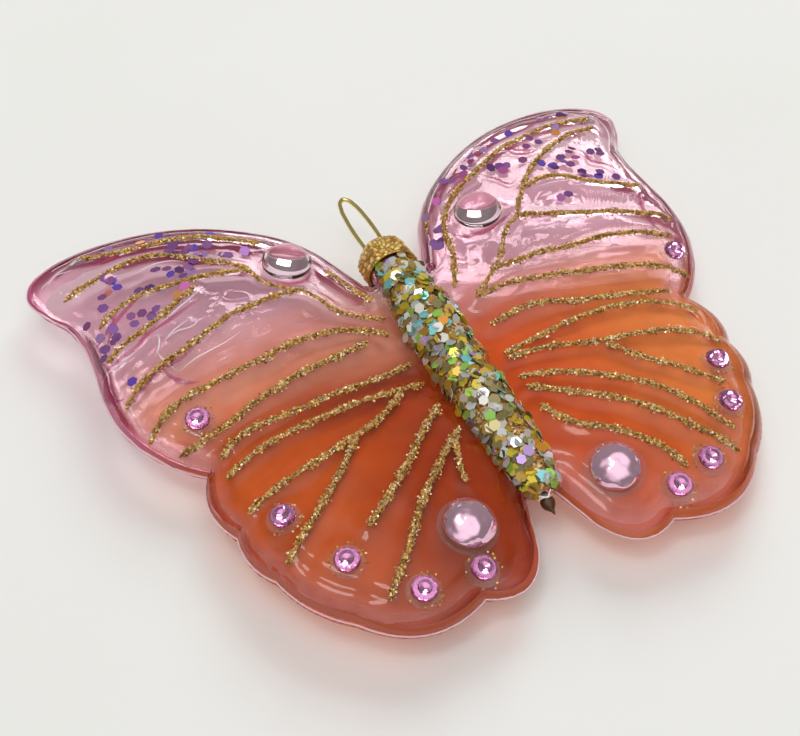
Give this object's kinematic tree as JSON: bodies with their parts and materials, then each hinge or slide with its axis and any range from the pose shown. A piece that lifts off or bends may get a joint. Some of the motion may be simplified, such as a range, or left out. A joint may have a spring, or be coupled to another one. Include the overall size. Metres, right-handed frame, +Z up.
{
  "type": "butterfly ornament",
  "caption": "Hollow blown glass butterfly that hangs from a wire loop in a turning metal cap, with glitter-drawn wing veins, glued stones and a body covered in glitter flakes",
  "frame": {"origin": "middle of the object's bounding box, on the surface that it lies on", "axes": "+X towards the right wing, +Y towards the head and the hanging loop, +Z up out of the decorated face"},
  "size_m": [0.118, 0.0956, 0.0148],
  "materials": {
    "lacquered_glass": "clear pink glass, lacquered orange on the inner wings",
    "cap_metal": "gold-coloured, hammered",
    "wire_metal": "plain drawn wire",
    "gold_glitter": "fine gold glitter in glue",
    "gold_flakes": "six-sided gold and silver flakes in glue",
    "clear_glue": "clear glue",
    "brown_glue": "hard glue",
    "rhinestone": "faceted, foil backed",
    "foiled_stone": "smooth dome, foil backed",
    "clear_stone": "smooth clear dome"
  },
  "bodies": {
    "glass": {"body_glitter": "gold_flakes", "fore_cabochon_left": "clear_stone", "fore_cabochon_left_glue": "clear_glue", "fore_cabochon_right": "clear_stone", "fore_cabochon_right_glue": "clear_glue", "glass_shell": "lacquered_glass", "hind_cabochon_left": "foiled_stone", "hind_cabochon_left_glue": "clear_glue", "hind_cabochon_right": "foiled_stone", "hind_cabochon_right_glue": "clear_glue", "rhinestone_left_1": "rhinestone", "rhinestone_left_1_glue": "clear_glue", "rhinestone_left_2": "rhinestone", "rhinestone_left_2_glue": "clear_glue", "rhinestone_left_3": "rhinestone", "rhinestone_left_3_glue": "clear_glue", "rhinestone_left_4": "rhinestone", "rhinestone_left_4_glue": "clear_glue", "rhinestone_left_5": "rhinestone", "rhinestone_left_5_glue": "clear_glue", "rhinestone_right_1": "rhinestone", "rhinestone_right_1_glue": "clear_glue", "rhinestone_right_2": "rhinestone", "rhinestone_right_2_glue": "clear_glue", "rhinestone_right_3": "rhinestone", "rhinestone_right_3_glue": "clear_glue", "rhinestone_right_4": "rhinestone", "rhinestone_right_4_glue": "clear_glue", "rhinestone_right_5": "rhinestone", "rhinestone_right_5_glue": "clear_glue", "tail_drop": "brown_glue", "veins_left_fore": "gold_glitter", "veins_left_hind": "gold_glitter", "veins_right_fore": "gold_glitter", "veins_right_hind": "gold_glitter"},
    "cap": {"cap": "cap_metal"},
    "hanger": {"hanger_wire": "wire_metal"}
  },
  "joints": [
    {"name": "cap_turn", "type": "hinge", "parent": "glass", "child": "cap", "pos_m": [0, 0.0207, 0.0072], "axis": [0, 1, 0], "continuous": true},
    {"name": "hanger_pull", "type": "slide", "parent": "cap", "child": "hanger", "axis": [0, 1, 0], "range_m": [0, 0.0045]}
  ]
}
